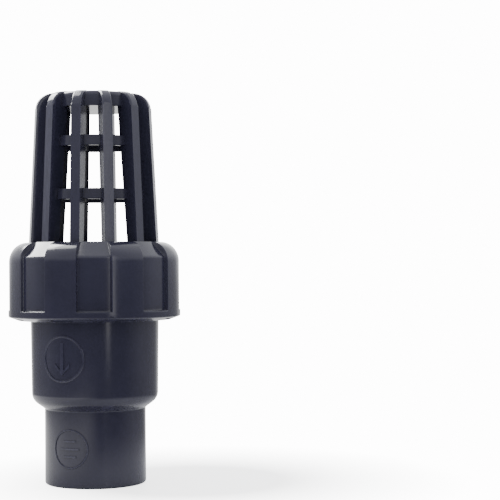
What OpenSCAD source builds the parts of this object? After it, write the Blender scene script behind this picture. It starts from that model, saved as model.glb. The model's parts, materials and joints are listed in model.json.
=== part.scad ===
// Foot valve for a half-inch solvent-weld pipe, standing on its pipe socket.
// The origin is the centre of the socket's end face, and +Z runs along the axis to the strainer.

/* [Pipe socket] */
// Radius of the socket's bore, for a pipe of 21.3 mm outside diameter
socket_bore_r = 10.7; // [10.6:0.05:10.9]
// Outer radius of the socket
socket_r = 16.1; // [15:0.1:16.6]
// Height of the socket, up to the shoulder
socket_h = 24; // [23.6:0.1:24.4]
// Radius of the passage above the pipe stop
passage_r = 8.8; // [8:0.1:9.4]

/* [Chamber] */
// Outer radius of the chamber just above the shoulder
chamber_r = 20.1; // [19.8:0.1:20.4]
// Inner radius of the chamber
chamber_bore_r = 17; // [16.8:0.1:17.2]
// Height at which the shoulder meets the chamber
shoulder_top_z = 29; // [28.6:0.1:29.6]
// Rounding of the shoulder
shoulder_r = 4; // [3:0.5:4]
// Height of the body's rim
rim_z = 68.4; // [68:0.1:69]

/* [Union thread] */
// Pitch of the right-hand thread
thread_pitch = 4; // [3.6:0.1:4.4]
// Core radius of the body's thread
thread_core_r = 22; // [21.9:0.05:22.1]
// How far each thread stands out
thread_depth = 1.2; // [1:0.05:1.2]
// Radial clearance between the two threads
thread_gap = 0.4; // [0.3:0.05:0.4]

/* [Union nut] */
// Height of the nut's lower edge
nut_bottom_z = 52; // [51.6:0.1:52.3]
// Height of the nut's top edge
nut_top_z = 76.8; // [76.5:0.1:77.5]
// Radius over the grip pads
nut_r = 27.4; // [27:0.1:28]
// Depth of the recesses between the pads
recess_depth = 1.2; // [0.8:0.1:1.3]
// Number of grip pads
pad_count = 8; // [6:1:10]

/* [Strainer basket] */
// Number of fins
fin_count = 12; // [8:1:12]
// Thickness of a fin
fin_t = 3.2; // [2.8:0.1:3.2]
// Height of the fins' tops
top_z = 124.2; // [123:0.1:126]
// Thickness of the basket's wall
basket_wall = 1.6; // [1.4:0.1:1.8]

/* [Check mechanism] */
// How far the poppet opens
poppet_travel = 6; // [4:0.5:6]
// Radius of the poppet's stem
stem_r = 2.5; // [2.3:0.1:2.6]
// Radius of the opening through the seat
seat_bore_r = 9.2; // [9:0.1:9.4]
// Height of the seat's sealing lip
seat_lip_z = 62; // [62:0.1:62.4]

/* [Hidden] */
$fn = 96;

shell_color = "#343844";
inner_color = "#4a4f5c";
rubber_color = "#17181b";
steel_color = "#b9bcc2";

eps = 0.01;
full_turn = 360;

// Body, inside and out
edge_r = 0.8;                       // rounding of the socket's mouth
flare_z = 52.4;                     // where the chamber widens towards its thread
flare_h = 2.2;
guide_ledge_z = 33;                 // the stem guide stands on this ledge
guide_ledge_w = 0.9;
pipe_stop_z = 22;
rim_chamfer = 0.6;

// Threads: each tooth is a trapezoid, and the nut's tooth lies half a pitch from the body's
tooth_root = 2.6;
tooth_tip = 1.2;
thread_start_z = 56.6;
thread_turns = 2.5;
nut_thread_turns = 3.25;
nut_thread_start_z = thread_start_z - thread_pitch / 2;
nut_root_r = thread_core_r + thread_depth + thread_gap;
thread_steps = 40;                  // flat pieces in each turn
thread_bury = 0.4;                  // how deep a tooth is sunk into its wall

// Seat ring, clamped between the body's rim and the basket's flange
seat_flange_t = 2;
seat_flange_r = 21.7;
seat_top_z = rim_z + seat_flange_t;
groove_r = 19.8;                    // middle of the O-ring groove in the body's rim
groove_w = 2.2;
groove_depth = 1.4;
cord_w = 2;                         // width of the O-ring when it is squeezed

// Basket
flange_r = 22.15;
flange_h = 3;
flange_top_z = seat_top_z + flange_h;
nut_hole_r = 21.2;
cap_bottom_z = 119.3;
cap_top_z = top_z - 0.1;            // the end plate is almost flush with the fins
cap_round = 1.5;
dish_r = 10.6;                      // shallow dish in the end plate
dish_depth = 1.2;
fin_foot_r = 20.9;
fin_tip_r = 18.7;
fin_corner_r = 5.3;
fin_root_r = 11.5;                  // how far the fins reach in over the cap
wall_foot_r = 18;
wall_top_r = 14.7;
window_w = 6.2;
fin_inset = 0.15;                   // the fins stand this far outside the wall's inner face
window_rows = [[76.6, 90.1], [93.5, 106.9], [110.2, cap_bottom_z]];

// Poppet
seal_t = 2.2;
seal_r = 11.3;
seal_squeeze = 0.05;                // clearance that stands for the seal's squeeze
head_t = 2.6;
head_r = 12.3;
head_lip_h = 1.4;
seal_top_z = seat_lip_z - seal_squeeze;
seal_bottom_z = seal_top_z - seal_t;
head_bottom_z = seal_bottom_z - head_t;
plate_r = 7.6;
plate_t = 1.4;
plate_top_z = seal_top_z + plate_t;
screw_r = 1.45;
screw_hole_r = 1.5;
screw_length = 9;
screw_head_r = 3;
screw_head_h = 2;

// Stem guide and spring
guide_h = 3.5;
guide_r = 16.95;
guide_ring_w = 2;
guide_hub_r = 6.6;
guide_hub_drop = 1.5;
guide_top_z = 38;
collar_r = 4.1;
collar_h = 1.5;
stem_gap = 0.06;                    // running clearance of the stem in the guide
stem_bottom_z = 27.5;
stop_gap = 0.1;
sleeve_r = 3.6;
sleeve_bottom_z = guide_top_z + collar_h + poppet_travel + stop_gap;
wire_r = 0.45;
coil_r = 5.1;
coil_turns = 7;
coil_steps = 20;
coil_end_gap = 0.02;

// Marks on the body
mark_azimuth = -118;
mark_h = 0.3;
arrow_mark_z = 40.6;
arrow_mark_r = 7.3;
socket_mark_z = 12.4;
socket_mark_r = 6.2;
mark_line = 0.7;

// Points on an arc about [r, z], from angle a to angle b.
function arc(r, z, radius, a, b, steps = 8) =
    [for (i = [0 : steps]) let (t = a + (b - a) * i / steps) [r + radius * cos(t), z + radius * sin(t)]];

// A tooth fades in and out over this share of a turn at each end.
fade_turns = 0.2;
function fade(turn, turns) = min(1, turn / fade_turns, (turns - turn) / fade_turns);

// Closed skin over a chain of rings of points, with both ends capped.
module skin(rings) {
    sides = len(rings[0]);
    last = len(rings) - 1;
    side_faces = [for (i = [0 : last - 1], j = [0 : sides - 1])
        let (k = (j + 1) % sides)
        each [[i * sides + j, i * sides + k, (i + 1) * sides + j],
              [i * sides + k, (i + 1) * sides + k, (i + 1) * sides + j]]];
    start_cap = [for (j = [1 : sides - 2]) [0, j + 1, j]];
    end_cap = [for (j = [1 : sides - 2]) [last * sides, last * sides + j, last * sides + j + 1]];
    polyhedron([for (ring = rings) each ring], concat(side_faces, start_cap, end_cap));
}

// A helical tooth. It stands out of a wall at root_r to tip_r, and is sunk into that wall.
module helical_tooth(root_r, tip_r, start_z, turns) {
    side = tip_r > root_r ? 1 : -1;
    base_r = root_r - side * thread_bury;
    shown = side * (tip_r - root_r);
    steps = round(turns * thread_steps);
    skin([for (i = [0 : steps])
        let (turn = i / thread_steps,
             a = full_turn * turn,
             z = start_z + thread_pitch * turn,
             reach = root_r + side * (-thread_bury / 2 + (shown + thread_bury / 2) * fade(turn, turns)),
             outline = [[base_r, -tooth_root / 2], [reach, -tooth_tip / 2],
                        [reach, tooth_tip / 2], [base_r, tooth_root / 2]],
             loop = side > 0 ? outline : [for (j = [3 : -1 : 0]) outline[j]])
        [for (p = loop) [p[0] * cos(a), p[0] * sin(a), z + p[1]]]]);
}

// A ring mark with a sign in it, raised on a cylinder of the given radius.
module raised_mark(wall_r, z, ring_r) {
    intersection() {
        translate([0, 0, z - 2 * ring_r])
            cylinder(r = wall_r + mark_h, h = 4 * ring_r);
        rotate([0, 0, mark_azimuth])
            translate([wall_r - 2, 0, z])
                rotate([90, 0, 90])
                    linear_extrude(4) {
                        difference() {
                            circle(r = ring_r);
                            circle(r = ring_r - mark_line);
                        }
                        children();
                    }
    }
}

// Flow arrow with an open head, pointing down to the pipe
module arrow_sign() {
    arrow_h = 10.4;
    head_w = 5.2;
    head_h = 2.8;
    head_line = 1.2;
    shaft_w = 1.2;
    translate([-shaft_w / 2, -arrow_h / 2 + head_line / 2])
        square([shaft_w, arrow_h - head_line / 2]);
    translate([0, -arrow_h / 2])
        polygon([[0, 0], [head_w / 2, head_h], [head_w / 2, head_h + head_line],
                 [0, head_line], [-head_w / 2, head_h + head_line], [-head_w / 2, head_h]]);
}

// Plain sign of short bars
module bar_sign() {
    bar_w = 6.6;
    bar_t = 0.8;
    bar_gap = 2.4;
    for (i = [-1 : 1])
        translate([0, i * bar_gap])
            square([bar_w - 2 * abs(i), bar_t], center = true);
}

module body() {
    outline = concat(
        [[socket_bore_r, edge_r], [socket_bore_r + edge_r, 0]],
        arc(socket_r - edge_r, edge_r, edge_r, -90, 0, 4),
        [[socket_r, socket_h], [socket_r + 0.5, socket_h + 0.4]],
        arc(chamber_r - shoulder_r, shoulder_top_z, shoulder_r, -55, 0, 8),
        [[chamber_r + 0.3, flare_z],
         [thread_core_r, flare_z + flare_h],
         [thread_core_r, rim_z - rim_chamfer],
         [thread_core_r - rim_chamfer, rim_z],
         [groove_r + groove_w / 2, rim_z],
         [groove_r + groove_w / 2, rim_z - groove_depth],
         [groove_r - groove_w / 2, rim_z - groove_depth],
         [groove_r - groove_w / 2, rim_z],
         [chamber_bore_r, rim_z],
         [chamber_bore_r, guide_ledge_z],
         [chamber_bore_r - guide_ledge_w, guide_ledge_z],
         [chamber_bore_r - guide_ledge_w, shoulder_top_z + 0.8],
         [passage_r, pipe_stop_z + 2],
         [passage_r, pipe_stop_z],
         [socket_bore_r, pipe_stop_z]]);
    color(shell_color) {
        rotate_extrude()
            polygon(outline);
        helical_tooth(thread_core_r, thread_core_r + thread_depth, thread_start_z, thread_turns);
        raised_mark(chamber_r + 0.15, arrow_mark_z, arrow_mark_r)
            arrow_sign();
        raised_mark(socket_r, socket_mark_z, socket_mark_r)
            bar_sign();
    }
}

// Cross-section of the nut as far out as its pads
module nut_outline(outer_r, shoulder_z) {
    mouth_r = nut_root_r + 0.4;
    land_r = 21.5;                  // outer edge of the narrow top face
    round_w = outer_r - land_r;
    round_h = nut_top_z - shoulder_z;
    rounded = outer_r == nut_r;
    shoulder = rounded
        ? [for (a = [0 : 10 : 90]) [land_r + round_w * cos(a), shoulder_z + round_h * sin(a)]]
        : [[outer_r, shoulder_z], [land_r, nut_top_z]];
    polygon(concat(
        [[mouth_r, nut_bottom_z], [outer_r, nut_bottom_z + 1.3]],
        shoulder,
        [[nut_hole_r, nut_top_z],
         [nut_hole_r, flange_top_z],
         [flange_r + 0.3, flange_top_z],
         [flange_r + 0.3, seat_top_z + 0.3],
         [nut_root_r, seat_top_z - 0.8],
         [nut_root_r, nut_bottom_z + 1]]));
}

module union_nut() {
    pad_angle = full_turn / pad_count;
    pad_phase = 1.5;                // how far the pads are turned from the body's axes
    ledge_z = nut_bottom_z + 3.3;   // the recesses stop at this ledge
    recess_shoulder_z = 72.1;
    pad_shoulder_z = 70.6;
    pocket_w = 7.4;
    pocket_t = 1.5;
    pocket_r = 24.6;
    pocket_depth = 8;
    color(shell_color) {
        difference() {
            rotate_extrude()
                nut_outline(nut_r, pad_shoulder_z);
            for (i = [0 : pad_count - 1])
                rotate([0, 0, pad_phase + (i - 0.25) * pad_angle])
                    rotate_extrude(angle = pad_angle / 2)
                        polygon([[nut_r - recess_depth, ledge_z], [nut_r + 2, ledge_z],
                                 [nut_r + 2, nut_top_z + 1], [20.48, nut_top_z + 1],
                                 [21.5, nut_top_z], [nut_r - recess_depth, recess_shoulder_z]]);
            for (i = [0 : pad_count - 1])
                rotate([0, 0, pad_phase + (i + 0.5) * pad_angle])
                    translate([pocket_r, -pocket_w / 2, nut_bottom_z - 1])
                        cube([pocket_t, pocket_w, pocket_depth + 1]);
        }
        helical_tooth(nut_root_r, nut_root_r - thread_depth, nut_thread_start_z, nut_thread_turns);
    }
}

// Side view of one fin, from inside the wall to its outer edge
module fin_outline() {
    polygon(concat(
        [[wall_foot_r - basket_wall + fin_inset, seat_top_z + eps],
         [fin_foot_r, seat_top_z + eps],
         [fin_foot_r, nut_top_z]],
        arc(fin_tip_r - fin_corner_r, top_z - fin_corner_r, fin_corner_r, 0, 90, 8),
        [[fin_root_r, top_z],
         [fin_root_r, cap_bottom_z + eps],
         [wall_top_r - basket_wall + fin_inset, cap_bottom_z + eps],
         [wall_foot_r - basket_wall + fin_inset, nut_top_z]]));
}

// Wall, flange and end plate of the basket, before its windows are cut
module basket_wall_solid() {
    rotate_extrude()
        polygon([[wall_foot_r - basket_wall, seat_top_z],
                 [flange_r, seat_top_z],
                 [flange_r, flange_top_z],
                 [wall_foot_r, flange_top_z],
                 [wall_foot_r, nut_top_z],
                 [wall_top_r, cap_bottom_z],
                 each arc(wall_top_r - cap_round, cap_top_z - cap_round, cap_round, 0, 90, 6),
                 [dish_r, cap_top_z],
                 [dish_r - 0.5, cap_top_z - dish_depth],
                 [0, cap_top_z - dish_depth],
                 [0, cap_bottom_z],
                 [wall_top_r - basket_wall, cap_bottom_z],
                 [wall_foot_r - basket_wall, nut_top_z]]);
}

// The windows reach from fin to fin, so each fin also closes the wall behind it.
module strainer_basket() {
    fin_step = full_turn / fin_count;
    color(shell_color) {
        difference() {
            basket_wall_solid();
            for (row = window_rows, i = [0 : fin_count - 1])
                rotate([0, 0, i * fin_step])
                    translate([wall_top_r - basket_wall - 3, -window_w / 2, row[0]])
                        cube([9, window_w, row[1] - row[0]]);
        }
        for (i = [0 : fin_count - 1])
            rotate([90, 0, (i + 0.5) * fin_step])
                translate([0, 0, -fin_t / 2])
                    linear_extrude(fin_t)
                        fin_outline();
    }
}

module seat_ring() {
    spigot_r = chamber_bore_r - 0.08;
    color(inner_color)
        rotate_extrude()
            polygon([[seat_bore_r, seat_lip_z], [seat_bore_r + 1, seat_lip_z], [seat_bore_r + 2.4, seat_lip_z + 1.2],
                     [seat_bore_r + 3.4, rim_z - 2.6], [spigot_r - 0.5, rim_z - 2.6], [spigot_r, rim_z - 2.1],
                     [spigot_r, rim_z], [seat_flange_r, rim_z], [seat_flange_r, seat_top_z],
                     [seat_bore_r + 1.2, seat_top_z], [seat_bore_r, seat_top_z - 1.2]]);
}

module seat_o_ring() {
    flat = cord_w / 2 - 0.3;
    color(rubber_color)
        rotate_extrude()
            translate([groove_r, rim_z - groove_depth / 2])
                polygon(concat(
                    [[-flat + 0.3, -groove_depth / 2], [flat - 0.3, -groove_depth / 2]],
                    [for (a = [-60 : 20 : 60]) [flat - 0.1 + 0.4 * cos(a), groove_depth / 2 * sin(a)]],
                    [[flat - 0.3, groove_depth / 2], [-flat + 0.3, groove_depth / 2]],
                    [for (a = [120 : 20 : 240]) [-flat + 0.1 + 0.4 * cos(a), groove_depth / 2 * sin(a)]]));
}

module poppet() {
    rib_r = 3.1;
    color(inner_color)
        difference() {
            rotate_extrude()
                polygon([[0, stem_bottom_z], [stem_r - 0.5, stem_bottom_z], [stem_r, stem_bottom_z + 0.5],
                         [stem_r, sleeve_bottom_z], [sleeve_r, sleeve_bottom_z], [sleeve_r, head_bottom_z - rib_r],
                         [coil_r - wire_r - 0.35, head_bottom_z - rib_r + 0.6],
                         [coil_r - wire_r - 0.35, head_bottom_z],
                         [head_r - 0.8, head_bottom_z], [head_r, head_bottom_z + 0.8],
                         [head_r, seal_bottom_z + head_lip_h], [seal_r + 0.1, seal_bottom_z + head_lip_h],
                         [seal_r + 0.1, seal_bottom_z], [0, seal_bottom_z]]);
            translate([0, 0, plate_top_z - screw_length - 0.5])
                cylinder(r = screw_hole_r, h = screw_length);
        }
}

module poppet_seal() {
    color(rubber_color)
        translate([0, 0, seal_bottom_z])
            difference() {
                cylinder(r = seal_r, h = seal_t);
                translate([0, 0, -1])
                    cylinder(r = screw_hole_r, h = seal_t + 2);
            }
}

module seal_plate() {
    color(inner_color)
        difference() {
            rotate_extrude()
                polygon([[0, seal_top_z], [plate_r, seal_top_z], [plate_r, plate_top_z - 0.5],
                         [plate_r - 0.5, plate_top_z], [0, plate_top_z]]);
            translate([0, 0, seal_top_z - 1])
                cylinder(r = screw_hole_r, h = plate_t + 2);
        }
}

module retainer_screw() {
    slot_l = 3.2;
    slot_w = 0.7;
    color(steel_color)
        difference() {
            rotate_extrude()
                polygon([[0, plate_top_z - screw_length], [screw_r - 0.6, plate_top_z - screw_length],
                         [screw_r, plate_top_z - screw_length + 1.4], [screw_r, plate_top_z],
                         [screw_head_r, plate_top_z], [screw_head_r, plate_top_z + 0.7],
                         [screw_head_r - 0.5, plate_top_z + 1.4], [screw_head_r - 1.4, plate_top_z + 1.9],
                         [0, plate_top_z + screw_head_h]]);
            for (a = [0, 90])
                rotate([0, 0, a])
                    translate([-slot_l / 2, -slot_w / 2, plate_top_z + 0.8])
                        cube([slot_l, slot_w, screw_head_h]);
        }
}

// Compression spring with flat closed ends
module return_spring() {
    low_z = guide_top_z + wire_r + coil_end_gap;
    high_z = head_bottom_z - wire_r - coil_end_gap;
    steps = coil_turns * coil_steps;
    wire_sides = 8;
    end_turns = 1;
    open_turns = coil_turns - 2 * end_turns;
    end_rise = 2 * wire_r + 0.05;
    open_rise = high_z - low_z - 2 * end_rise;
    color(steel_color)
        skin([for (i = [0 : steps])
            let (turn = i / coil_steps,
                 a = full_turn * turn,
                 z = low_z + end_rise * min(turn, end_turns)
                     + open_rise * max(0, min(1, (turn - end_turns) / open_turns))
                     + end_rise * max(0, turn - end_turns - open_turns))
            [for (j = [0 : wire_sides - 1])
                let (b = full_turn * j / wire_sides, r = coil_r + wire_r * cos(b))
                [r * cos(a), r * sin(a), z + wire_r * sin(b)]]]);
}

module stem_guide() {
    arm_count = 4;
    arm_w = 2.4;
    color(inner_color)
        difference() {
            union() {
                translate([0, 0, guide_ledge_z])
                    difference() {
                        cylinder(r = guide_r, h = guide_h);
                        translate([0, 0, -1])
                            cylinder(r = guide_r - guide_ring_w, h = guide_h + 2);
                    }
                translate([0, 0, guide_ledge_z - guide_hub_drop])
                    cylinder(r = guide_hub_r, h = guide_top_z - guide_ledge_z + guide_hub_drop);
                translate([0, 0, guide_top_z - eps])
                    cylinder(r = collar_r, h = collar_h + eps);
                for (i = [0 : arm_count - 1])
                    rotate([0, 0, 45 + i * full_turn / arm_count])
                        translate([guide_hub_r - 1, -arm_w / 2, guide_ledge_z])
                            cube([guide_r - guide_hub_r - guide_ring_w / 2 + 1, arm_w, guide_h]);
            }
            translate([0, 0, guide_ledge_z - guide_hub_drop - 1])
                cylinder(r = stem_r + stem_gap, h = guide_top_z + collar_h - guide_ledge_z + guide_hub_drop + 2);
        }
}

body();
union_nut();
strainer_basket();
seat_ring();
seat_o_ring();
poppet();
poppet_seal();
seal_plate();
retainer_screw();
return_spring();
stem_guide();
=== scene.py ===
import json
import math

import bmesh
import bpy
from mathutils import Matrix, Vector


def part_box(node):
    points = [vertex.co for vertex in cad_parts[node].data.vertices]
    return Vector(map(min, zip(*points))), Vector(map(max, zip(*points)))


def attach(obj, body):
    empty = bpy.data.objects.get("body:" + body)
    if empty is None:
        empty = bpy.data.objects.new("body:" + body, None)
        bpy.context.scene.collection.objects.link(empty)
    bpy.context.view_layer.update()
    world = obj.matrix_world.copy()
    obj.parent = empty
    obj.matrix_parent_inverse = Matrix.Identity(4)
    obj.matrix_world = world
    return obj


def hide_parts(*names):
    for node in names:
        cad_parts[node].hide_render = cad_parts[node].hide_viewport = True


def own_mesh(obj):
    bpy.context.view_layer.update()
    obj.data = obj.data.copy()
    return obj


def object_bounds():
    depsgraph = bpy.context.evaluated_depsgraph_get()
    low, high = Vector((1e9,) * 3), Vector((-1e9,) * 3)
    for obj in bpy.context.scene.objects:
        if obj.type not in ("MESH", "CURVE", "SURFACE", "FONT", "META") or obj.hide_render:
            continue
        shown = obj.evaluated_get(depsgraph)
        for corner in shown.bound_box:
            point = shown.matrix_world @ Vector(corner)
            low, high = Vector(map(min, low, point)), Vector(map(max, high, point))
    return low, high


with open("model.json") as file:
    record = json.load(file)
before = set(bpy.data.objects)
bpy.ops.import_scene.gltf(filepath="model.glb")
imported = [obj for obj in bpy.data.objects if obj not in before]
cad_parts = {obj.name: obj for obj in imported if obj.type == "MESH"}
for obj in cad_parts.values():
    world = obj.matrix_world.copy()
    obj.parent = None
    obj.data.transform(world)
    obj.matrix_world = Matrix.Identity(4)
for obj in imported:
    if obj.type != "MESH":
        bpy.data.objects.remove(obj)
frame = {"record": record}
cad_low, cad_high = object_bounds()

MM = 0.001
FULL_TURN = 2 * math.pi
LATHE_STEPS = 192
SHARP_ANGLE = math.radians(38)
SLIVER = 0.002


def extent(node):
    """Lowest z, highest z and largest radius of a CAD node, in millimetres."""
    low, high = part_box(node)
    return low.z / MM, high.z / MM, high.x / MM


# Heights and radii of the frame's own pieces, in millimetres. The outlines below hang on them.
body_foot_z, body_rim_z, _ = extent("body")
nut_foot_z, nut_top_z, nut_r = extent("union_nut")
basket_foot_z, basket_top_z, flange_r = extent("strainer_basket")
seat_lip_z, seat_top_z, seat_r = extent("seat_ring")
ring_foot_z, ring_top_z, ring_r = extent("seat_o_ring")
stem_foot_z, _, head_r = extent("poppet")
seal_foot_z, seal_top_z, seal_r = extent("poppet_seal")
plate_foot_z, plate_top_z, plate_r = extent("seal_plate")
screw_foot_z, screw_top_z, screw_head_r = extent("retainer_screw")
coil_foot_z, coil_top_z, coil_r = extent("return_spring")
guide_foot_z, guide_top_z, guide_r = extent("stem_guide")

FLANGE_TOP_Z = basket_foot_z + 3


# ---------------------------------------------------------------- mesh tools, in millimetres


def rounded(corners, closed=True, steps=5):
    """Outline through (r, z, radius) corners, each corner with a radius turned into an arc."""
    points = []
    count = len(corners)
    for i, (r, z, radius) in enumerate(corners):
        corner = Vector((r, z))
        if radius == 0 or (not closed and i in (0, count - 1)):
            points.append(corner)
            continue
        before = (Vector(corners[i - 1][:2]) - corner).normalized()
        after = (Vector(corners[(i + 1) % count][:2]) - corner).normalized()
        half = before.angle(after) / 2
        centre = corner + (before + after).normalized() * radius / math.sin(half)
        start = corner + before * radius / math.tan(half) - centre
        end = corner + after * radius / math.tan(half) - centre
        sweep = math.pi - 2 * half
        for k in range(steps + 1):
            t = k / steps
            blend = math.sin((1 - t) * sweep) * start + math.sin(t * sweep) * end
            points.append(centre + blend / math.sin(sweep))
    return points


def add_rings(bm, rings, closed_rows=True):
    """Skins a list of rings of points. A ring of one point is a pole."""
    rows = [[bm.verts.new(p) for p in ring] for ring in rings]
    pairs = list(zip(rows, rows[1:] + rows[:1])) if closed_rows else list(zip(rows, rows[1:]))
    for low, high in pairs:
        count = max(len(low), len(high))
        for j in range(count):
            k = (j + 1) % count
            corners = [low[j % len(low)], low[k % len(low)], high[k % len(high)], high[j % len(high)]]
            unique = list(dict.fromkeys(corners))
            if len(unique) > 2:
                bm.faces.new(unique)
    return rows


def lathe(bm, outline, steps=LATHE_STEPS):
    """Turns an (r, z) outline about the axis. An outline that starts and ends on the axis is open."""
    on_axis = outline[0][0] == 0 and outline[-1][0] == 0
    angles = [FULL_TURN * j / steps for j in range(steps)]
    rings = []
    for r, z in outline:
        if r == 0:
            rings.append([Vector((0, 0, z))])
        else:
            rings.append([Vector((r * math.cos(a), r * math.sin(a), z)) for a in angles])
    add_rings(bm, rings, closed_rows=not on_axis)


def sweep(bm, sections):
    """Skins a chain of equal sections and closes both of its ends."""
    rows = add_rings(bm, sections, closed_rows=False)
    bm.faces.new(rows[0])
    bm.faces.new(list(reversed(rows[-1])))


def new_object(name, build):
    """A mesh object in metres from a function that fills a bmesh in millimetres."""
    bm = bmesh.new()
    build(bm)
    bmesh.ops.recalc_face_normals(bm, faces=bm.faces)
    bmesh.ops.scale(bm, vec=Vector((MM, MM, MM)), verts=bm.verts)
    mesh = bpy.data.meshes.new(name)
    bm.to_mesh(mesh)
    bm.free()
    obj = bpy.data.objects.new(name, mesh)
    bpy.context.scene.collection.objects.link(obj)
    return obj


def combine(obj, build, operation):
    """Joins or cuts obj with the solid that a function builds, and keeps the result as its mesh."""
    other = new_object(obj.name + "_tool", build)
    modifier = obj.modifiers.new("combine", "BOOLEAN")
    modifier.operation = operation
    modifier.solver = "EXACT"
    modifier.object = other
    bpy.context.view_layer.update()
    result = bpy.data.meshes.new_from_object(obj.evaluated_get(bpy.context.evaluated_depsgraph_get()))
    obj.modifiers.clear()
    bm = bmesh.new()
    bm.from_mesh(result)
    bmesh.ops.dissolve_degenerate(bm, dist=SLIVER * MM, edges=bm.edges)
    bm.to_mesh(result)
    bm.free()
    obj.data = result
    bpy.data.objects.remove(other)


def lay_on(obj, build):
    """Adds the solids that a function builds to obj's mesh, sunk into its wall but not joined to it."""
    other = new_object(obj.name + "_relief", build)
    bm = bmesh.new()
    bm.from_mesh(obj.data)
    bm.from_mesh(other.data)
    bm.to_mesh(obj.data)
    bm.free()
    bpy.data.objects.remove(other)


def finish_piece(obj, material, node):
    """Smooth shading, material, and the piece's place in the frame."""
    record = frame["record"]
    bodies = record["behaviour"]["bodies"]
    body = next(name for name, nodes in bodies.items() if node in nodes)
    obj.data.shade_smooth()
    obj.data.set_sharp_from_angle(angle=SHARP_ANGLE)
    weighted = obj.modifiers.new("weighted_normals", "WEIGHTED_NORMAL")
    weighted.keep_sharp = True
    obj.data.materials.clear()
    obj.data.materials.append(material)
    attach(obj, body)
    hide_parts(node)


# ---------------------------------------------------------------- threads and marks

PITCH = 4.0
THREAD_CORE_R = 22.0
THREAD_DEPTH = 1.2
THREAD_GAP = 0.4
NUT_ROOT_R = THREAD_CORE_R + THREAD_DEPTH + THREAD_GAP
THREAD_START_Z = 56.6


def tooth(bm, root_r, side, start_z, turns):
    """Right-hand helical tooth with a rounded crest. side is 1 for outside and -1 for inside."""
    steps_in_turn = 96
    fade_turns = 0.2
    sunk = 0.4
    half_root, half_tip, crest = 1.3, 0.6, 0.22
    steps = round(turns * steps_in_turn)
    sections = []
    for i in range(steps + 1):
        turn = i / steps_in_turn
        fade = min(1, turn / fade_turns, (turns - turn) / fade_turns)
        height = -sunk / 2 + (THREAD_DEPTH + sunk / 2) * fade
        outline = [
            (-sunk, -half_root),
            (height - crest, -half_tip - crest * 0.6),
            (height, -half_tip + crest),
            (height, half_tip - crest),
            (height - crest, half_tip + crest * 0.6),
            (-sunk, half_root),
        ]
        a = FULL_TURN * turn
        ring = []
        for out, up in outline:
            r = root_r + side * max(out, -sunk)
            ring.append(Vector((r * math.cos(a), r * math.sin(a), start_z + PITCH * turn + up)))
        sections.append(ring)
    sweep(bm, sections)


MARK_AZIMUTH = math.radians(-118)
MARK_HEIGHT = 0.3


def wrap(u, v, out, wall_r, z):
    """A point of a flat mark, laid on the body's wall."""
    a = MARK_AZIMUTH + u / wall_r
    return Vector(((wall_r + out) * math.cos(a), (wall_r + out) * math.sin(a), z + v))


def raised_ring(bm, wall_r, z, ring_r, line_w):
    """Moulded ring of round-topped section on the wall."""
    steps = 120
    half = line_w / 2
    section = [(-half, -0.25), (-half, 0.12), (-half * 0.7, 0.25), (0, MARK_HEIGHT)]
    section += [(half * 0.7, 0.25), (half, 0.12), (half, -0.25)]
    rings = []
    for i in range(steps):
        a = FULL_TURN * i / steps
        ring = []
        for across, out in section:
            rho = ring_r - half + across
            ring.append(wrap(rho * math.cos(a), rho * math.sin(a), out, wall_r, z))
        rings.append(ring)
    add_rings(bm, rings)


def raised_shape(bm, points, wall_r, z):
    """Flat shape of (u, v) points raised on the wall, with sloping sides."""
    slope = 0.12
    strip = 0.5
    flat = bmesh.new()
    foot = [flat.verts.new((u, v, -0.25)) for u, v in points]
    centre = Vector((sum(u for u, v in points), sum(v for u, v in points))) / len(points)
    top = []
    for i, point in enumerate(points):
        before = (Vector(point) - Vector(points[i - 1])).normalized()
        after = (Vector(points[(i + 1) % len(points)]) - Vector(point)).normalized()
        inward = Vector((-before.y - after.y, before.x + after.x))
        inward *= slope / max(0.5, 1 + before.dot(after))
        top.append(flat.verts.new((point[0] + inward.x, point[1] + inward.y, MARK_HEIGHT)))
    count = len(points)
    for i in range(count):
        k = (i + 1) % count
        flat.faces.new([foot[i], foot[k], top[k], top[i]])
    flat.faces.new(top)
    flat.faces.new(list(reversed(foot)))
    low_u = min(u for u, v in points)
    high_u = max(u for u, v in points)
    cuts = int((high_u - low_u) / strip)
    for i in range(1, cuts + 1):
        everything = list(flat.verts) + list(flat.edges) + list(flat.faces)
        place = Vector((low_u + (high_u - low_u) * i / (cuts + 1), centre.y, 0))
        bmesh.ops.bisect_plane(flat, geom=everything, plane_co=place, plane_no=Vector((1, 0, 0)))
    copies = {vert: bm.verts.new(wrap(vert.co.x, vert.co.y, vert.co.z, wall_r, z)) for vert in flat.verts}
    for face in flat.faces:
        bm.faces.new([copies[vert] for vert in face.verts])
    flat.free()


def arrow_points():
    """Flow arrow with an open head, pointing down to the pipe, anticlockwise from its point."""
    half_h, head_h, half_head, line, half_shaft = 5.2, 2.8, 2.6, 1.2, 0.6
    notch = -half_h + line + half_shaft * head_h / half_head
    return [
        (0, -half_h),
        (half_head, head_h - half_h),
        (half_head, head_h + line - half_h),
        (half_shaft, notch),
        (half_shaft, half_h),
        (-half_shaft, half_h),
        (-half_shaft, notch),
        (-half_head, head_h + line - half_h),
        (-half_head, head_h - half_h),
    ]


def bar_points(half_w, half_h, v):
    """Short flat bar, anticlockwise."""
    return [(-half_w, v - half_h), (half_w, v - half_h), (half_w, v + half_h), (-half_w, v + half_h)]


# ---------------------------------------------------------------- body


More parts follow.
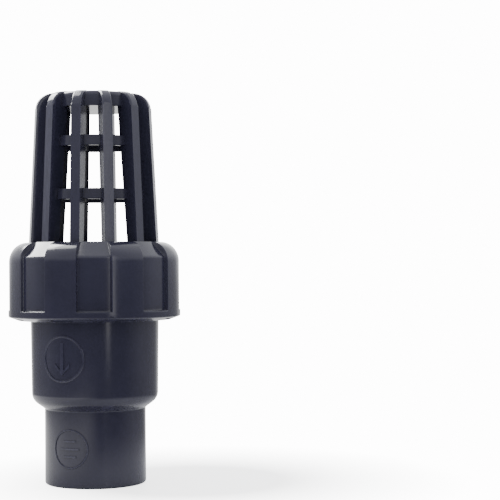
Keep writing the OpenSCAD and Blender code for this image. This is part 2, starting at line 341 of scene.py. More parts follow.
def body_wall(bm):
    """Socket, shoulder, chamber and threaded neck, inside and out."""
    socket_bore_r, socket_r, chamber_r, chamber_bore_r, passage_r = 10.7, 16.1, 20.1, 17.0, 8.8
    lathe(
        bm,
        rounded(
            [
                (socket_bore_r, body_foot_z + 0.8, 0.3),
                (socket_bore_r + 0.8, body_foot_z, 0.25),
                (socket_r, body_foot_z, 0.8),
                (socket_r, 24.0, 0.35),
                (socket_r + 0.5, 24.4, 0.4),
                (chamber_r, 26.9, 4),
                (chamber_r + 0.3, 52.4, 1),
                (THREAD_CORE_R, 54.6, 1),
                (THREAD_CORE_R, body_rim_z - 0.6, 0.3),
                (THREAD_CORE_R - 0.6, body_rim_z, 0.25),
                (20.9, body_rim_z, 0.15),
                (20.9, body_rim_z - 1.4, 0.3),
                (18.7, body_rim_z - 1.4, 0.3),
                (18.7, body_rim_z, 0.15),
                (chamber_bore_r, body_rim_z, 0.3),
                (chamber_bore_r, 33, 0.1),
                (chamber_bore_r - 0.9, 33, 0.2),
                (chamber_bore_r - 0.9, 29.8, 1.5),
                (passage_r, 24, 2),
                (passage_r, 22, 0.3),
                (socket_bore_r, 22, 0.25),
            ]
        ),
        steps=256,
    )


def body_marks(bm):
    """Moulded ring marks, one with the flow arrow and one with a plain sign of bars."""
    chamber_mark_z, chamber_wall_r = 40.6, 20.26
    raised_ring(bm, chamber_wall_r, chamber_mark_z, 7.3, 0.7)
    raised_shape(bm, arrow_points(), chamber_wall_r, chamber_mark_z)
    socket_mark_z, socket_wall_r = 12.4, 16.1
    raised_ring(bm, socket_wall_r, socket_mark_z, 6.2, 0.6)
    for row in (-1, 0, 1):
        raised_shape(bm, bar_points(3.3 - abs(row), 0.4, 2.4 * row), socket_wall_r, socket_mark_z)


# ---------------------------------------------------------------- union nut

PAD_COUNT = 8
NUT_LAND_R = 21.5
NUT_HOLE_R = 21.2
RECESS_DEPTH = 1.2
PAD_SHOULDER_Z = 70.6
RECESS_SHOULDER_Z = 72.1
LEDGE_Z = nut_foot_z + 3.3
PAD_PHASE = math.radians(1.5)


def smooth_step(t):
    """0 below 0, 1 above 1, and a smooth rise between."""
    t = min(1, max(0, t))
    return t * t * (3 - 2 * t)


def pad_share(angle):
    """1 on a grip pad, 0 in a recess, with a short rounded side between them."""
    step = FULL_TURN / PAD_COUNT
    from_recess = abs((angle - PAD_PHASE + step / 2) % step - step / 2)
    side = 0.42 / nut_r
    return smooth_step((from_recess - step / 4 + side / 2) / side)


def nut_angles():
    """Angles of the nut's columns, closer together at the sides of the pads."""
    step = FULL_TURN / PAD_COUNT
    angles = []
    for i in range(PAD_COUNT):
        for edge in (-1, 1):
            middle = i * step + edge * step / 4
            angles += [middle + 0.5 / nut_r * k / 6 for k in range(-6, 7)]
        angles += [i * step + step / 4 * 0.93 * k / 8 for k in range(-8, 9)]
        angles += [(i + 0.5) * step + step / 4 * 0.93 * k / 8 for k in range(-8, 9)]
    return sorted((a + PAD_PHASE) % FULL_TURN for a in angles)


def recess_r(z):
    """Radius of the recesses' floor at a height."""
    floor = nut_r - RECESS_DEPTH
    cone = NUT_LAND_R + (nut_top_z - z) * (floor - NUT_LAND_R) / (nut_top_z - RECESS_SHOULDER_Z)
    blend = 0.25
    gap = cone - floor
    if abs(gap) < blend:
        return floor + min(0, gap) - (blend - abs(gap)) ** 2 / (4 * blend)
    return min(floor, cone)


def nut_rows():
    """(radius on a pad, radius in a recess, height) of each row of the nut, mouth to mouth."""
    mouth_r = NUT_ROOT_R + 0.45
    rim_z = nut_foot_z + 1.2
    rim = rounded([(mouth_r, nut_foot_z, 0.25), (nut_r, rim_z, 0.5), (nut_r, LEDGE_Z, 0)], False)
    rows = [(r, r, z) for r, z in rim[1:-1]]
    floor = nut_r - RECESS_DEPTH
    first = LEDGE_Z + 0.8
    ledge = rounded(
        [
            (nut_r, LEDGE_Z - 0.6, 0),
            (nut_r, LEDGE_Z, 0.22),
            (floor, LEDGE_Z, 0.3),
            (floor, first, 0),
        ],
        False,
    )
    rows += [(nut_r, r, z) for r, z in ledge]
    straight = 10
    for k in range(1, straight):
        z = first + (PAD_SHOULDER_Z - first) * k / straight
        rows.append((nut_r, floor, z))
    arc_steps = 28
    for k in range(arc_steps + 1):
        a = math.pi / 2 * k / arc_steps
        z = PAD_SHOULDER_Z + (nut_top_z - PAD_SHOULDER_Z) * math.sin(a)
        r = NUT_LAND_R + (nut_r - NUT_LAND_R) * math.cos(a)
        rows.append((r, min(r, recess_r(z)), z))
    inside = rounded(
        [
            (NUT_LAND_R, nut_top_z, 0),
            (NUT_HOLE_R, nut_top_z, 0.14),
            (NUT_HOLE_R, FLANGE_TOP_Z, 0.2),
            (flange_r + 0.3, FLANGE_TOP_Z, 0.25),
            (flange_r + 0.3, basket_foot_z + 0.3, 0.2),
            (NUT_ROOT_R, basket_foot_z - 0.8, 0.3),
            (NUT_ROOT_R, nut_foot_z + 1, 0.3),
            (mouth_r, nut_foot_z, 0.25),
            (nut_r, rim_z, 0),
        ],
        False,
    )
    rows += [(r, r, z) for r, z in inside[1:-1]]
    return rows


def nut_wall(bm):
    """Grip pads, recesses, rim, shoulder and inside of the nut."""
    angles = nut_angles()
    same_point = 0.0005
    rings = []
    for pad_radius, recess_radius, z in nut_rows():
        ring = []
        for a in angles:
            r = recess_radius + (pad_radius - recess_radius) * pad_share(a)
            ring.append(Vector((r * math.cos(a), r * math.sin(a), z)))
        rings.append(ring)
    add_rings(bm, rings)
    bmesh.ops.remove_doubles(bm, verts=bm.verts, dist=same_point)


def nut_pockets(bm):
    """Cored pockets in the nut's open end, one behind each pad."""
    half_w, inner_r, outer_r, depth = 3.7, 24.65, 26.15, 8
    corner = 0.3
    for i in range(PAD_COUNT):
        turn = Matrix.Rotation(PAD_PHASE + (i + 0.5) * FULL_TURN / PAD_COUNT, 3, "Z")
        plan = rounded(
            [
                (inner_r, -half_w, corner),
                (outer_r, -half_w, corner),
                (outer_r, half_w, corner),
                (inner_r, half_w, corner),
            ],
            steps=3,
        )
        levels = [(nut_foot_z - 1, 0), (nut_foot_z + depth, 0.12)]
        sections = []
        for z, draft in levels:
            middle = Vector(((inner_r + outer_r) / 2, 0))
            shrunk = [middle + (p - middle) * (1 - draft) for p in plan]
            sections.append([turn @ Vector((p.x, p.y, z)) for p in shrunk])
        sweep(bm, sections)


# ---------------------------------------------------------------- strainer basket

FIN_COUNT = 12
FIN_T = 3.2
WALL_FOOT_R = 18.0
WALL_TOP_R = 14.7
BASKET_WALL = 1.6
CAP_Z = 119.3
CAP_TOP_Z = basket_top_z - 0.1
FIN_FOOT_R = 20.9
RING_HEIGHTS = ((90.1, 93.5), (106.9, 110.2))


def wall_r(z):
    """Outer radius of the basket's wall at a height."""
    share = (z - nut_top_z) / (CAP_Z - nut_top_z)
    return WALL_FOOT_R + (WALL_TOP_R - WALL_FOOT_R) * max(0, share)


def basket_rings(bm):
    """Sleeve and flange, the two rings between the windows, and the end plate."""
    sleeve_top = nut_top_z - 0.2
    soft = 0.3
    lathe(
        bm,
        rounded(
            [
                (WALL_FOOT_R - BASKET_WALL, basket_foot_z, soft),
                (flange_r, basket_foot_z, soft),
                (flange_r, FLANGE_TOP_Z, soft),
                (WALL_FOOT_R, FLANGE_TOP_Z, soft),
                (WALL_FOOT_R, sleeve_top, soft),
                (WALL_FOOT_R - BASKET_WALL, sleeve_top, soft),
            ]
        ),
    )
    for low, high in RING_HEIGHTS:
        lathe(
            bm,
            rounded(
                [
                    (wall_r(low) - BASKET_WALL, low, soft),
                    (wall_r(low), low, soft),
                    (wall_r(high), high, soft),
                    (wall_r(high) - BASKET_WALL, high, soft),
                ]
            ),
        )
    dish_r, dish_depth, gate_r = 10.6, 1.2, 2.2
    lathe(
        bm,
        rounded(
            [
                (0, CAP_Z, 0),
                (WALL_TOP_R, CAP_Z, soft),
                (WALL_TOP_R - 0.1, CAP_TOP_Z, 1.5),
                (dish_r, CAP_TOP_Z, 0.4),
                (dish_r - 0.5, CAP_TOP_Z - dish_depth, 0.5),
                (dish_r - 1.5, CAP_TOP_Z - dish_depth, 0),
                (gate_r + 1, CAP_TOP_Z - dish_depth, 0),
                (gate_r + 0.1, CAP_TOP_Z - dish_depth, 0.15),
                (gate_r, CAP_TOP_Z - dish_depth + 0.4, 0.15),
                (0, CAP_TOP_Z - dish_depth + 0.4, 0),
            ],
            False,
        ),
    )


def fin_outline():
    """(r, z) side view of a fin."""
    inset = 0.15
    corner_r = 5.3
    tip_r = 18.45
    inner_foot = WALL_FOOT_R - BASKET_WALL + inset
    inner_top = WALL_TOP_R - BASKET_WALL + inset
    return rounded(
        [
            (inner_foot, basket_foot_z + 0.4, 0),
            (FIN_FOOT_R, basket_foot_z + 0.4, 0),
            (FIN_FOOT_R, nut_top_z, 8),
            (tip_r, basket_top_z, corner_r),
            (11.2, basket_top_z, 0.8),
            (11.2, CAP_Z + 0.5, 0),
            (inner_top, CAP_Z + 0.5, 0),
            (inner_foot, nut_top_z, 0),
        ],
        steps=8,
    )


def basket_fins(bm):
    """Twelve fins with rounded edges, a little thinner towards their outer edge."""
    taper = 0.008
    edge = 0.6
    outline = fin_outline()
    for i in range(FIN_COUNT):
        fin = bmesh.new()
        sides = []
        for side in (-1, 1):
            sides.append([fin.verts.new((p.x, side * FIN_T / 2, p.y)) for p in outline])
        fin.faces.new(sides[0])
        fin.faces.new(list(reversed(sides[1])))
        count = len(outline)
        for j in range(count):
            k = (j + 1) % count
            fin.faces.new([sides[0][k], sides[0][j], sides[1][j], sides[1][k]])
        rims = [e for e in fin.edges if abs(e.verts[0].co.y - e.verts[1].co.y) < 1e-6]
        bmesh.ops.bevel(fin, geom=rims, offset=edge, segments=4, profile=0.5, affect="EDGES")
        turn = Matrix.Rotation((i + 0.5) * FULL_TURN / FIN_COUNT, 3, "Z")
        copies = {}
        for vert in fin.verts:
            thin = 1 - taper * max(0, vert.co.x - WALL_TOP_R)
            copies[vert] = bm.verts.new(turn @ Vector((vert.co.x, vert.co.y * thin, vert.co.z)))
        for face in fin.faces:
            bm.faces.new([copies[vert] for vert in face.verts])
        fin.free()


# ---------------------------------------------------------------- inner pieces


def seat_ring_wall(bm):
    """Flange, spigot and sealing lip of the seat ring."""
    bore_r, spigot_r, spigot_z = 9.2, 16.92, body_rim_z - 2.6
    lathe(
        bm,
        rounded(
            [
                (bore_r, seat_lip_z, 0.25),
                (bore_r + 1, seat_lip_z, 0.25),
                (bore_r + 2.4, seat_lip_z + 1.2, 0.4),
                (bore_r + 3.4, spigot_z, 0.8),
                (spigot_r, spigot_z, 0.4),
                (spigot_r, body_rim_z, 0.1),
                (seat_r, body_rim_z, 0.2),
                (seat_r, seat_top_z, 0.3),
                (bore_r + 1.2, seat_top_z, 0.5),
                (bore_r, seat_top_z - 1.2, 0.4),
            ]
        ),
    )


def o_ring_wall(bm):
    """O-ring, squeezed a little flat."""
    middle_r = 19.8
    half_w = ring_r - middle_r
    half_h = (ring_top_z - ring_foot_z) / 2
    middle_z = ring_foot_z + half_h
    steps = 24
    outline = []
    for k in range(steps):
        a = FULL_TURN * k / steps
        flat = math.copysign(abs(math.sin(a)) ** 0.7, math.sin(a))
        outline.append((middle_r + half_w * math.cos(a), middle_z + half_h * flat))
    lathe(bm, outline)


def poppet_wall(bm):
    """Stem, stop sleeve and cupped head of the poppet."""
    stem_r, sleeve_r, sleeve_z, boss_r = 2.5, 3.6, 45.6, 4.3
    head_z = seal_foot_z - 2.6
    lathe(
        bm,
        rounded(
            [
                (0, stem_foot_z, 0),
                (stem_r, stem_foot_z, 0.5),
                (stem_r, sleeve_z, 0.1),
                (sleeve_r, sleeve_z, 0.2),
                (sleeve_r, head_z - 3.1, 0.1),
                (boss_r, head_z - 2.5, 0.2),
                (boss_r, head_z, 0.1),
                (head_r, head_z, 0.8),
                (head_r, seal_foot_z + 1.4, 0.2),
                (seal_r + 0.1, seal_foot_z + 1.4, 0.2),
                (seal_r + 0.1, seal_foot_z, 0.1),
                (1.5, seal_foot_z, 0.1),
                (1.5, screw_foot_z - 0.5, 0.1),
                (0, screw_foot_z - 0.5, 0),
            ],
            False,
        ),
        steps=128,
    )


def seal_wall(bm):
    """Rubber disc with a faint print of the seat's lip."""
    print_r, print_w, print_h = 9.7, 0.6, 0.05
    lathe(
        bm,
        rounded(
            [
                (1.5, seal_foot_z, 0.15),
                (seal_r, seal_foot_z, 0.3),
                (seal_r, seal_top_z, 0.3),
                (print_r + print_w, seal_top_z, 0.05),
                (print_r + print_w / 2, seal_top_z - print_h, 0.05),
                (print_r - print_w / 2, seal_top_z - print_h, 0.05),
                (print_r - print_w, seal_top_z, 0.05),
                (1.5, seal_top_z, 0.15),
            ]
        ),
    )


def plate_wall(bm):
    """Washer that holds the disc down."""
    lathe(
        bm,
        rounded(
            [
                (1.5, plate_foot_z, 0.1),
                (plate_r, plate_foot_z, 0.1),
                (plate_r, plate_top_z, 0.45),
                (1.5, plate_top_z, 0.2),
            ]
        ),
        steps=128,
    )


SCREW_R = 1.45


def screw_wall(bm):
    """Pan head and shank of the screw."""
    lathe(
        bm,
        rounded(
            [
                (0, screw_foot_z, 0),
                (0.3, screw_foot_z, 0.1),
                (SCREW_R - 0.3, screw_foot_z + 1.4, 0.3),
                (SCREW_R - 0.3, plate_top_z, 0.1),
                (screw_head_r, plate_top_z, 0.2),
                (screw_head_r, plate_top_z + 0.8, 0.5),
                (screw_head_r - 1.2, screw_top_z - 0.1, 0.8),
                (0, screw_top_z, 0),
            ],
            False,
        ),
        steps=96,
    )


def screw_thread(bm):
    """Self-cutting thread of the screw."""
    pitch, steps_in_turn, depth = 0.9, 32, 0.3
    turns = (plate_foot_z - 0.8 - screw_foot_z - 0.6) / pitch
    steps = round(turns * steps_in_turn)
    sections = []
    for i in range(steps + 1):
        a = FULL_TURN * i / steps_in_turn
        fade = min(1, i / 20, (steps - i) / 12)
        z = screw_foot_z + 0.6 + pitch * i / steps_in_turn
        root = SCREW_R - 0.3 - 0.1
        tip = SCREW_R - 0.3 - 0.05 + (depth + 0.04) * fade
        ring = []
        for r, up in ((root, -0.28), (tip, -0.04), (tip, 0.04), (root, 0.28)):
            ring.append(Vector((r * math.cos(a), r * math.sin(a), z + up)))
        sections.append(ring)
    sweep(bm, sections)


def screw_slots(bm):
    """Cross recess in the screw's head."""
    sections = []
    for z, half_l, half_w in ((plate_top_z + 0.7, 0.9, 0.25), (screw_top_z + 0.3, 1.75, 0.42)):
        ring = []
        for quarter in range(4):
            turn = Matrix.Rotation(quarter * FULL_TURN / 4, 3, "Z")
            for x, y in ((half_l, -half_w), (half_l, half_w), (half_w, half_w)):
                ring.append(turn @ Vector((x, y, z)))
        sections.append(ring)
    sweep(bm, sections)


def spring_wire(bm):
    """Compression spring with closed ends."""
    wire_r, turns, steps_in_turn, sides = 0.45, 7, 48, 14
    middle_r = coil_r - wire_r
    low = coil_foot_z + wire_r
    high = coil_top_z - wire_r
    end_rise = 2 * wire_r + 0.05
    open_turns = turns - 2
    sections = []
    for i in range(turns * steps_in_turn + 1):
        turn = i / steps_in_turn
        rise = end_rise * min(turn, 1) + end_rise * max(0, turn - 1 - open_turns)
        rise += (high - low - 2 * end_rise) * max(0, min(1, (turn - 1) / open_turns))
        a = FULL_TURN * turn
        ring = []
        for j in range(sides):
            b = FULL_TURN * j / sides
            r = middle_r + wire_r * math.cos(b)
            ring.append(Vector((r * math.cos(a), r * math.sin(a), low + rise + wire_r * math.sin(b))))
        sections.append(ring)
    sweep(bm, sections)


GUIDE_Z = 33.0
GUIDE_H = 3.5
GUIDE_HUB_R = 6.6


def guide_rings(bm):
    """Outer ring and hub of the stem guide."""
    inner_r = guide_r - 2
    bore_r, collar_r, shelf_z = 2.56, 4.1, guide_top_z - 1.5
    lathe(
        bm,
        rounded(
            [
                (inner_r, GUIDE_Z, 0.25),
                (guide_r, GUIDE_Z, 0.25),
                (guide_r, GUIDE_Z + GUIDE_H, 0.25),
                (inner_r, GUIDE_Z + GUIDE_H, 0.25),
            ]
        ),
    )
    lathe(
        bm,
        rounded(
            [
                (bore_r, guide_foot_z, 0.2),
                (GUIDE_HUB_R, guide_foot_z, 0.6),
                (GUIDE_HUB_R, shelf_z, 0.3),
                (collar_r, shelf_z, 0.15),
                (collar_r, guide_top_z, 0.25),
                (bore_r, guide_top_z, 0.2),
            ]
        ),
        steps=128,
    )


def guide_arms(bm):
    """Four arms between hub and ring."""
    half_w = 1.2
    soft = 0.3
    for i in range(4):
        turn = Matrix.Rotation(math.pi / 4 + i * math.pi / 2, 3, "Z")
        section = rounded(
            [
                (-half_w, GUIDE_Z, soft),
                (half_w, GUIDE_Z, soft),
                (half_w, GUIDE_Z + GUIDE_H, soft),
                (-half_w, GUIDE_Z + GUIDE_H, soft),
            ],
            steps=3,
        )
        ends = (GUIDE_HUB_R - 0.6, guide_r - 1)
        sweep(bm, [[turn @ Vector((x, p.x, p.y)) for p in section] for x in ends])


# ---------------------------------------------------------------- materials


def node_tree(name):
    """New material with its tree, shader and object coordinates."""
    material = bpy.data.materials.new(name)
    material.use_nodes = True
    tree = material.node_tree
    shader = tree.nodes["Principled BSDF"]
    place = tree.nodes.new("ShaderNodeTexCoord").outputs["Object"]
    return material, tree, shader, place


def noise(tree, place, scale, detail=4, roughness=0.5, stretch=(1, 1, 1)):
    """Noise with features about 1/scale metres across, stretched along an axis."""
    mapping = tree.nodes.new("ShaderNodeMapping")
    mapping.inputs["Scale"].default_value = stretch
    tree.links.new(place, mapping.inputs["Vector"])
    node = tree.nodes.new("ShaderNodeTexNoise")
    node.inputs["Scale"].default_value = scale
    node.inputs["Detail"].default_value = detail
    node.inputs["Roughness"].default_value = roughness
    tree.links.new(mapping.outputs["Vector"], node.inputs["Vector"])
    return node.outputs["Fac"]


def ramp(tree, value, low, high, out_low=0.0, out_high=1.0):
    """Maps a value from low..high to out_low..out_high, clamped."""
    node = tree.nodes.new("ShaderNodeMapRange")
    node.inputs["From Min"].default_value = low
    node.inputs["From Max"].default_value = high
    node.inputs["To Min"].default_value = out_low
    node.inputs["To Max"].default_value = out_high
    tree.links.new(value, node.inputs["Value"])
    return node.outputs["Result"]


def math_node(tree, operation, a, b):
    """One math node; a and b are sockets or numbers."""
    node = tree.nodes.new("ShaderNodeMath")
    node.operation = operation
    for socket, value in zip(node.inputs, (a, b)):
        if isinstance(value, (int, float)):
            socket.default_value = value
        else:
            tree.links.new(value, socket)
    return node.outputs["Value"]


def mix_colour(tree, share, a, b):
    """Mixes two colours; a and b are sockets or colours."""
    node = tree.nodes.new("ShaderNodeMix")
    node.data_type = "RGBA"
    tree.links.new(share, node.inputs["Factor"])
    for socket, value in zip((node.inputs[6], node.inputs[7]), (a, b)):
        if isinstance(value, tuple):
            socket.default_value = (*value, 1)
        else:
            tree.links.new(value, socket)
    return node.outputs[2]


def edge_share(tree, low=0.515, high=0.56):
    """1 on sharp outer edges, 0 elsewhere."""
    geometry = tree.nodes.new("ShaderNodeNewGeometry")
    return ramp(tree, geometry.outputs["Pointiness"], low, high)


def bump(tree, shader, *layers):
    """Chains bump layers of (height, distance in metres) into the shader."""
    normal = None
    for height, distance in layers:
        node = tree.nodes.new("ShaderNodeBump")
        node.inputs["Strength"].default_value = 1
        node.inputs["Distance"].default_value = distance
        tree.links.new(height, node.inputs["Height"])
        if normal is not None:
            tree.links.new(normal, node.inputs["Normal"])
        normal = node.outputs["Normal"]
    tree.links.new(normal, shader.inputs["Normal"])


def moulded_plastic(name, colour, gloss):
    """Injection-moulded rigid PVC: faint mottling, fine grain, lighter sharp edges that are partly wear and
    partly a painted edge highlight, light handling marks.
    """
    material, tree, shader, place = node_tree(name)
    cloud = noise(tree, place, 45, 3)
    mottle = noise(tree, place, 420, 4)
    grain = noise(tree, place, 5200, 3)
    streaks = noise(tree, place, 260, 4, 0.6, (1, 1, 0.12))
    scuffs = noise(tree, place, 900, 5, 0.7, (1, 1, 0.25))
    darker = tuple(c * 0.9 for c in colour)
    lighter = tuple(c * 1.1 for c in colour)
    # Lighter colour for sharp outer edges: partly real wear, partly a painted edge highlight.
    worn_and_highlit = tuple(c * 1.7 + 0.006 for c in colour)
    base = mix_colour(tree, ramp(tree, cloud, 0.35, 0.65), darker, lighter)
    base = mix_colour(tree, ramp(tree, mottle, 0.4, 0.75, 0, 0.3), base, lighter)
    # Sharp outer edges broken up by scuff noise: where the lighter edge colour goes, partly as wear and
    # partly as a painted edge highlight.
    edge_wear_and_highlight = math_node(tree, "MULTIPLY", edge_share(tree), ramp(tree, scuffs, 0.38, 0.62, 0.1, 0.6))
    base = mix_colour(tree, edge_wear_and_highlight, base, worn_and_highlit)
    tree.links.new(base, shader.inputs["Base Color"])
    uneven = ramp(tree, mottle, 0.3, 0.7, gloss, gloss + 0.03)
    rough = math_node(tree, "ADD", uneven, ramp(tree, cloud, 0.3, 0.7, 0, 0.03))
    rough = math_node(tree, "ADD", rough, ramp(tree, scuffs, 0.62, 0.75, 0, 0.06))
    tree.links.new(rough, shader.inputs["Roughness"])
    shader.inputs["IOR"].default_value = 1.53
    bump(tree, shader, (streaks, 0.000012), (mottle, 0.000006), (grain, 0.0000012))
    return material


def black_rubber(name, colour):
    """Moulded rubber with a dusty, matt surface."""
    material, tree, shader, place = node_tree(name)
    dust = noise(tree, place, 700, 6, 0.7)
    grain = noise(tree, place, 6000, 3)
    pale = tuple(c * 2.2 + 0.01 for c in colour)
    dusty = mix_colour(tree, ramp(tree, dust, 0.45, 0.75, 0, 0.5), colour, pale)
    tree.links.new(dusty, shader.inputs["Base Color"])
    tree.links.new(ramp(tree, dust, 0.3, 0.7, 0.6, 0.8), shader.inputs["Roughness"])
    bump(tree, shader, (dust, 0.00002), (grain, 0.00001))
    return material


def steel(name, colour):
    """Bright drawn or turned stainless steel with fine lines."""
    material, tree, shader, place = node_tree(name)
    lines = noise(tree, place, 900, 3, 0.5, (1, 1, 14))
    stain = noise(tree, place, 500, 4)
    dull = tuple(c * 0.72 for c in colour)
    tree.links.new(mix_colour(tree, ramp(tree, stain, 0.4, 0.7), colour, dull), shader.inputs["Base Color"])
    tree.links.new(ramp(tree, lines, 0.3, 0.7, 0.2, 0.36), shader.inputs["Roughness"])
    shader.inputs["Metallic"].default_value = 1
    bump(tree, shader, (lines, 0.000006))
    return material


# ---------------------------------------------------------------- pieces

SHELL_COLOUR = (0.027, 0.0265, 0.0465)
TRIM_COLOUR = (0.055, 0.06, 0.072)

shell_plastic = moulded_plastic("shell_plastic", SHELL_COLOUR, 0.13)
trim_plastic = moulded_plastic("trim_plastic", TRIM_COLOUR, 0.34)
rubber = black_rubber("seal_rubber", (0.012, 0.012, 0.013))
stainless = steel("stainless_steel", (0.62, 0.62, 0.63))

body = new_object("body_moulding", body_wall)
combine(body, lambda bm: tooth(bm, THREAD_CORE_R, 1, THREAD_START_Z, 2.5), "UNION")
lay_on(body, body_marks)
finish_piece(body, shell_plastic, "body")

nut = new_object("nut_moulding", nut_wall)
combine(nut, nut_pockets, "DIFFERENCE")
combine(nut, lambda bm: tooth(bm, NUT_ROOT_R, -1, THREAD_START_Z - PITCH / 2, 3.25), "UNION")
finish_piece(nut, shell_plastic, "union_nut")

basket = new_object("basket_moulding", basket_rings)
combine(basket, basket_fins, "UNION")
finish_piece(basket, shell_plastic, "strainer_basket")

seat = new_object("seat_moulding", seat_ring_wall)
finish_piece(seat, trim_plastic, "seat_ring")

o_ring = new_object("o_ring", o_ring_wall)
finish_piece(o_ring, rubber, "seat_o_ring")

poppet = new_object("poppet_moulding", poppet_wall)
finish_piece(poppet, trim_plastic, "poppet")

seal = new_object("seal_disc", seal_wall)
finish_piece(seal, rubber, "poppet_seal")

plate = new_object("clamp_plate", plate_wall)
finish_piece(plate, trim_plastic, "seal_plate")

screw = new_object("pan_screw", screw_wall)
combine(screw, screw_thread, "UNION")
combine(screw, screw_slots, "DIFFERENCE")
finish_piece(screw, stainless, "retainer_screw")

spring = new_object("coil_spring", spring_wire)
finish_piece(spring, stainless, "return_spring")
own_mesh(spring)

guide = new_object("guide_moulding", guide_rings)
combine(guide, guide_arms, "UNION")
finish_piece(guide, trim_plastic, "stem_guide")


# ---------------------------------------------------------------- studio


def area_light(name, place, target, size, power, lights=True, mirrored=True):
    """Soft box at a place, turned to a target. It lights surfaces, is mirrored in them, or both."""
    light = bpy.data.lights.new(name, "AREA")
    light.shape = "RECTANGLE"
    light.size, light.size_y = size
    light.energy = power
    obj = bpy.data.objects.new(name, light)
    obj.location = place
    obj.rotation_mode = "QUATERNION"
    obj.rotation_quaternion = (Vector(target) - Vector(place)).to_track_quat("-Z", "Y")
    obj.visible_diffuse = lights
    obj.visible_glossy = mirrored
    bpy.context.scene.collection.objects.link(obj)


def room_light(tree, direction):
    """How bright the white room is in a direction: brightest straight behind the valve, then overhead."""
    split = tree.nodes.new("ShaderNodeSeparateXYZ")
    tree.links.new(direction, split.inputs["Vector"])
    sides = ramp(tree, split.outputs["Y"], -0.6, 0, ROOM_FRONT, ROOM_SIDE)
    behind = ramp(tree, split.outputs["Y"], 0.78, 1, 0, ROOM_BACK)
    upper = ramp(tree, split.outputs["Z"], 0.06, 0.3, 0, ROOM_UPPER)
    overhead = ramp(tree, split.outputs["Z"], 0.5, 0.95, 0, ROOM_ABOVE)
    level = math_node(tree, "ADD", sides, behind)
    return math_node(tree, "ADD", level, math_node(tree, "ADD", upper, overhead))


def ray_kind(tree, kind):
    """1 for one kind of light ray and 0 for all others."""
    return tree.nodes.new("ShaderNodeLightPath").outputs[kind]


def studio_world():
    """White room, with a plain white backdrop where it is seen directly."""
    world = bpy.data.worlds.new("studio")
    world.use_nodes = True
    tree = world.node_tree
    direction = tree.nodes.new("ShaderNodeTexCoord").outputs["Generated"]
    room = tree.nodes["Background"]
    room.inputs["Color"].default_value = (0.96, 0.97, 1, 1)
    tree.links.new(room_light(tree, direction), room.inputs["Strength"])
    backdrop = tree.nodes.new("ShaderNodeBackground")
    backdrop.inputs["Color"].default_value = (1, 1, 1, 1)
    backdrop.inputs["Strength"].default_value = WHITE
    mix = tree.nodes.new("ShaderNodeMixShader")
    tree.links.new(ray_kind(tree, "Is Camera Ray"), mix.inputs["Fac"])
    tree.links.new(room.outputs["Background"], mix.inputs[1])
    tree.links.new(backdrop.outputs["Background"], mix.inputs[2])
    tree.links.new(mix.outputs["Shader"], tree.nodes["World Output"].inputs["Surface"])
    bpy.context.scene.world = world


def floor_glow(tree, strength, share, under):
    """Lay a glow over a shader, as strong as its share."""
    glow = tree.nodes.new("ShaderNodeEmission")
    if isinstance(strength, float):
        glow.inputs["Strength"].default_value = strength
    else:
        tree.links.new(strength, glow.inputs["Strength"])
    mix = tree.nodes.new("ShaderNodeMixShader")
    tree.links.new(share, mix.inputs["Fac"])
    tree.links.new(under, mix.inputs[1])
    tree.links.new(glow.outputs["Emission"], mix.inputs[2])
    return mix.outputs["Shader"]


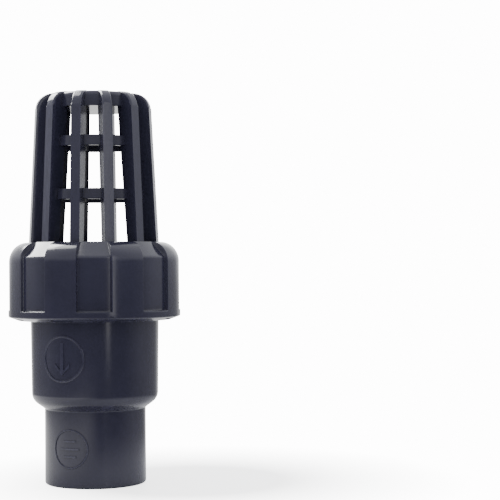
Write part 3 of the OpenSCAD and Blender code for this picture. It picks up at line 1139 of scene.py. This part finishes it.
def studio_floor():
    """Pale card that fades into the backdrop where it is seen, and into the room where it is mirrored."""
    half = 8
    corners = [(-half, -half, 0), (half, -half, 0), (half, half, 0), (-half, half, 0)]
    mesh = bpy.data.meshes.new("floor")
    mesh.from_pydata(corners, [], [(0, 1, 2, 3)])
    obj = bpy.data.objects.new("floor", mesh)
    bpy.context.scene.collection.objects.link(obj)
    material, tree, shader, place = node_tree("floor_card")
    shadow_middle = (0.03, 0, 0)
    distance = tree.nodes.new("ShaderNodeVectorMath")
    distance.operation = "DISTANCE"
    distance.inputs[1].default_value = shadow_middle
    tree.links.new(place, distance.inputs[0])
    shader.inputs["Base Color"].default_value = (0.85, 0.85, 0.87, 1)
    shader.inputs["Roughness"].default_value = 0.5
    direction = tree.nodes.new("ShaderNodeVectorMath")
    direction.operation = "NORMALIZE"
    tree.links.new(place, direction.inputs[0])
    far = distance.outputs["Value"]
    seen = ramp(tree, far, 0.03, 0.09, 0.2, 1)
    seen = math_node(tree, "MULTIPLY", seen, ray_kind(tree, "Is Camera Ray"))
    split = tree.nodes.new("ShaderNodeSeparateXYZ")
    tree.links.new(place, split.inputs["Vector"])
    left_card = ramp(tree, split.outputs["X"], -0.05, 0.025, 1, 0)
    left_card = math_node(tree, "MULTIPLY", left_card, ramp(tree, far, 0.18, 0.3, 1, 0))
    room = math_node(tree, "MULTIPLY", room_light(tree, direction.outputs["Vector"]), FLOOR_SHARE)
    room = math_node(tree, "ADD", room, math_node(tree, "MULTIPLY", left_card, FLOOR_LEFT))
    mirrored = math_node(tree, "MAXIMUM", left_card, ramp(tree, far, 0.04, 0.12))
    mirrored = math_node(tree, "MULTIPLY", mirrored, ray_kind(tree, "Is Glossy Ray"))
    surface = floor_glow(tree, WHITE, seen, shader.outputs["BSDF"])
    surface = floor_glow(tree, room, mirrored, surface)
    tree.links.new(surface, tree.nodes["Material Output"].inputs["Surface"])
    mesh.materials.append(material)


WHITE = 14.0
ROOM_FRONT, ROOM_SIDE, ROOM_BACK = 0.15, 0.8, 2.3
ROOM_UPPER, ROOM_ABOVE = 0.7, 0.1
FLOOR_SHARE, FLOOR_LEFT = 0.5, 1.3
middle = (cad_low + cad_high) / 2
studio_world()
studio_floor()
area_light("fill_box", (-0.36, -0.38, 0.3), middle, (0.5, 0.5), 0.7, mirrored=False)
area_light("key_box", (-0.26, 0.24, 0.44), middle, (0.34, 0.3), 7, lights=False)
area_light("top_box", (-0.2, 0.08, 0.52), middle, (0.24, 0.24), 1.6, lights=False)
area_light("strip_box", (0.23, -0.5, 0.12), middle, (0.07, 0.5), 0.22, lights=False)

# Camera: a little above the middle of the valve, aimed to its right, so that the valve stands left of centre.
CAMERA_DISTANCE = 0.468
CAMERA_AZIMUTH = math.radians(2)
CAMERA_HEIGHT = 0.0702
AIM_RIGHT = math.radians(6.12)
AIM_UP = math.radians(0.47)
ROLL = math.radians(0.4)
camera_data = bpy.data.cameras.new("camera")
camera_data.lens = 104.4
camera_data.sensor_width = 36
camera = bpy.data.objects.new("camera", camera_data)
bpy.context.scene.collection.objects.link(camera)
camera.location = (
    CAMERA_DISTANCE * math.sin(CAMERA_AZIMUTH),
    -CAMERA_DISTANCE * math.cos(CAMERA_AZIMUTH),
    CAMERA_HEIGHT,
)
heading = AIM_RIGHT - CAMERA_AZIMUTH
aim = Vector((math.sin(heading) * math.cos(AIM_UP), math.cos(heading) * math.cos(AIM_UP), math.sin(AIM_UP)))
camera.rotation_mode = "QUATERNION"
camera.rotation_quaternion = Matrix.Rotation(ROLL, 3, aim).to_quaternion() @ aim.to_track_quat("-Z", "Y")
bpy.context.scene.camera = camera
